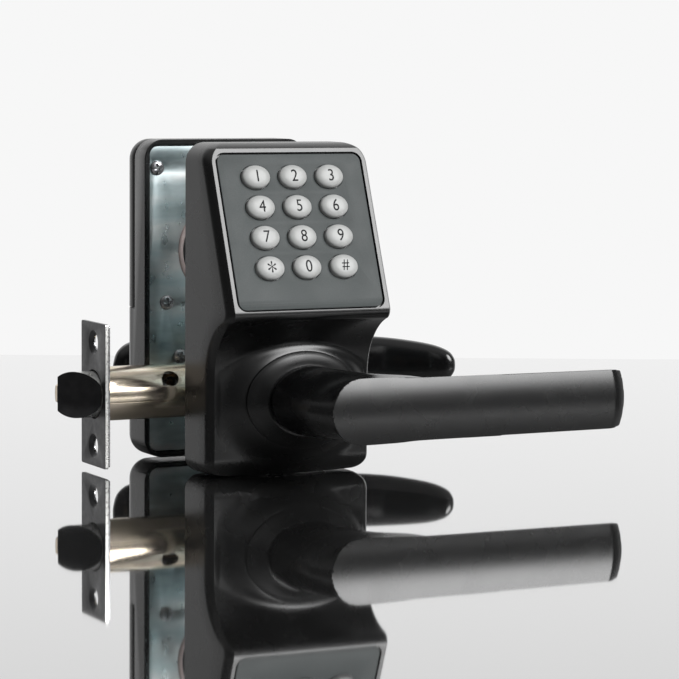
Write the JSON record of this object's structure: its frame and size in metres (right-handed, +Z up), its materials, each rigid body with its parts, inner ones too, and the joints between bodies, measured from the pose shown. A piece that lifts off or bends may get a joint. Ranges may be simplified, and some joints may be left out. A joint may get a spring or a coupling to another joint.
{
  "type": "keypad lever lock",
  "caption": "Electronic lever lock for a door: sloped push-button keypad unit outside, spring latch in the door edge, battery unit inside, and a lever on each side",
  "frame": {"origin": "on the spindle's line, at the middle of the door's thickness", "axes": "+X along the levers, away from the latch; -Y outside, +Y inside; +Z up"},
  "size_m": [0.2004, 0.182, 0.13],
  "materials": {
    "black_paint": "satin black powder coat",
    "keypad_grey": "fine matt grey",
    "key_white": "silvery white with black printed digits",
    "rubber": "matt black",
    "cable": "matt black sleeve",
    "circuit_board": "green solder mask",
    "zinc": "bright blue-white zinc",
    "nickel": "smooth nickel",
    "dark_nickel": "polished, dark reflections",
    "steel": "turned steel",
    "grommet": "pale pink plastic",
    "black_plastic": "moulded black",
    "battery": "dark printed sleeve"
  },
  "bodies": {
    "lock_body": {"outside_housing": "black_paint", "outside_collar": "black_paint", "inside_housing": "black_paint", "inside_collar": "black_paint", "keypad_plate": "keypad_grey", "keypad_mat": "rubber", "outside_gasket": "rubber", "cable_harness": "cable", "keypad_circuit_board": "circuit_board", "control_board": "circuit_board", "outside_base_plate": "zinc", "latch_faceplate": "zinc", "latch_back_plate": "zinc", "inside_mount_plate": "zinc", "latch_tube": "nickel", "latch_case": "nickel", "clutch_motor": "steel", "latch_spring": "steel", "outside_return_spring": "steel", "inside_return_spring": "steel", "through_bolt_1": "steel", "through_bolt_2": "steel", "plate_screw_1": "steel", "plate_screw_2": "steel", "plate_screw_3": "steel", "plate_screw_4": "steel", "plate_screw_5": "steel", "plate_screw_6": "steel", "cable_grommet": "grommet", "battery_tray": "black_plastic", "battery_1": "battery", "battery_2": "battery", "battery_3": "battery", "battery_4": "battery"},
    "outside_lever": {"outside_lever": "black_paint", "outside_retaining_ring": "steel", "outside_drive_disc": "steel"},
    "inside_lever": {"inside_lever": "black_paint", "inside_retaining_ring": "steel", "spindle": "steel", "clutch_disc": "steel", "latch_hub": "steel"},
    "clutch_pin": {"clutch_pin": "steel"},
    "latch_bolt": {"latch_bolt": "dark_nickel", "latch_drawbar": "steel"},
    "deadlatch_plunger": {"deadlatch_plunger": "nickel"},
    "battery_cover": {"battery_cover": "black_paint"},
    "key_1": {"key_1": "key_white"},
    "key_2": {"key_2": "key_white"},
    "key_3": {"key_3": "key_white"},
    "key_4": {"key_4": "key_white"},
    "key_5": {"key_5": "key_white"},
    "key_6": {"key_6": "key_white"},
    "key_7": {"key_7": "key_white"},
    "key_8": {"key_8": "key_white"},
    "key_9": {"key_9": "key_white"},
    "key_star": {"key_star": "key_white"},
    "key_0": {"key_0": "key_white"},
    "key_hash": {"key_hash": "key_white"}
  },
  "joints": [
    {"name": "key_1_press", "type": "slide", "parent": "lock_body", "child": "key_1", "axis": [0, 0.9314, -0.3639], "range_m": [0, 0.0009], "stiffness_N_per_m": 400, "springref_m": -0.0005},
    {"name": "key_2_press", "type": "slide", "parent": "lock_body", "child": "key_2", "axis": [0, 0.9314, -0.3639], "range_m": [0, 0.0009], "stiffness_N_per_m": 400, "springref_m": -0.0005},
    {"name": "key_3_press", "type": "slide", "parent": "lock_body", "child": "key_3", "axis": [0, 0.9314, -0.3639], "range_m": [0, 0.0009], "stiffness_N_per_m": 400, "springref_m": -0.0005},
    {"name": "key_4_press", "type": "slide", "parent": "lock_body", "child": "key_4", "axis": [0, 0.9314, -0.3639], "range_m": [0, 0.0009], "stiffness_N_per_m": 400, "springref_m": -0.0005},
    {"name": "key_5_press", "type": "slide", "parent": "lock_body", "child": "key_5", "axis": [0, 0.9314, -0.3639], "range_m": [0, 0.0009], "stiffness_N_per_m": 400, "springref_m": -0.0005},
    {"name": "key_6_press", "type": "slide", "parent": "lock_body", "child": "key_6", "axis": [0, 0.9314, -0.3639], "range_m": [0, 0.0009], "stiffness_N_per_m": 400, "springref_m": -0.0005},
    {"name": "key_7_press", "type": "slide", "parent": "lock_body", "child": "key_7", "axis": [0, 0.9314, -0.3639], "range_m": [0, 0.0009], "stiffness_N_per_m": 400, "springref_m": -0.0005},
    {"name": "key_8_press", "type": "slide", "parent": "lock_body", "child": "key_8", "axis": [0, 0.9314, -0.3639], "range_m": [0, 0.0009], "stiffness_N_per_m": 400, "springref_m": -0.0005},
    {"name": "key_9_press", "type": "slide", "parent": "lock_body", "child": "key_9", "axis": [0, 0.9314, -0.3639], "range_m": [0, 0.0009], "stiffness_N_per_m": 400, "springref_m": -0.0005},
    {"name": "key_star_press", "type": "slide", "parent": "lock_body", "child": "key_star", "axis": [0, 0.9314, -0.3639], "range_m": [0, 0.0009], "stiffness_N_per_m": 400, "springref_m": -0.0005},
    {"name": "key_0_press", "type": "slide", "parent": "lock_body", "child": "key_0", "axis": [0, 0.9314, -0.3639], "range_m": [0, 0.0009], "stiffness_N_per_m": 400, "springref_m": -0.0005},
    {"name": "key_hash_press", "type": "slide", "parent": "lock_body", "child": "key_hash", "axis": [0, 0.9314, -0.3639], "range_m": [0, 0.0009], "stiffness_N_per_m": 400, "springref_m": -0.0005},
    {"name": "outside_lever_turn", "type": "hinge", "parent": "lock_body", "child": "outside_lever", "pos_m": [0, 0, 0], "axis": [0, 1, 0], "range_deg": [0, 50], "stiffness_Nm_per_rad": 1.2, "springref_deg": -20.05},
    {"name": "inside_lever_turn", "type": "hinge", "parent": "lock_body", "child": "inside_lever", "pos_m": [0, 0, 0], "axis": [0, 1, 0], "range_deg": [0, 50], "stiffness_Nm_per_rad": 1.2, "springref_deg": -20.05},
    {"name": "clutch_pin_slide", "type": "slide", "parent": "inside_lever", "child": "clutch_pin", "axis": [0, -1, 0], "range_m": [0, 0.0025]},
    {"name": "latch_bolt_slide", "type": "slide", "parent": "lock_body", "child": "latch_bolt", "axis": [1, 0, 0], "range_m": [0, 0.0127], "deforming": ["latch_spring"]},
    {"name": "deadlatch_slide", "type": "slide", "parent": "latch_bolt", "child": "deadlatch_plunger", "axis": [1, 0, 0], "range_m": [0, 0.012], "stiffness_N_per_m": 120, "springref_m": -0.004},
    {"name": "battery_cover_slide", "type": "slide", "parent": "lock_body", "child": "battery_cover", "axis": [0, 0, 1], "range_m": [0, 0.07]}
  ],
  "couplings": [
    {"joint": "latch_bolt_slide", "follows": "inside_lever_turn", "m_per_rad": 0.0145}
  ]
}
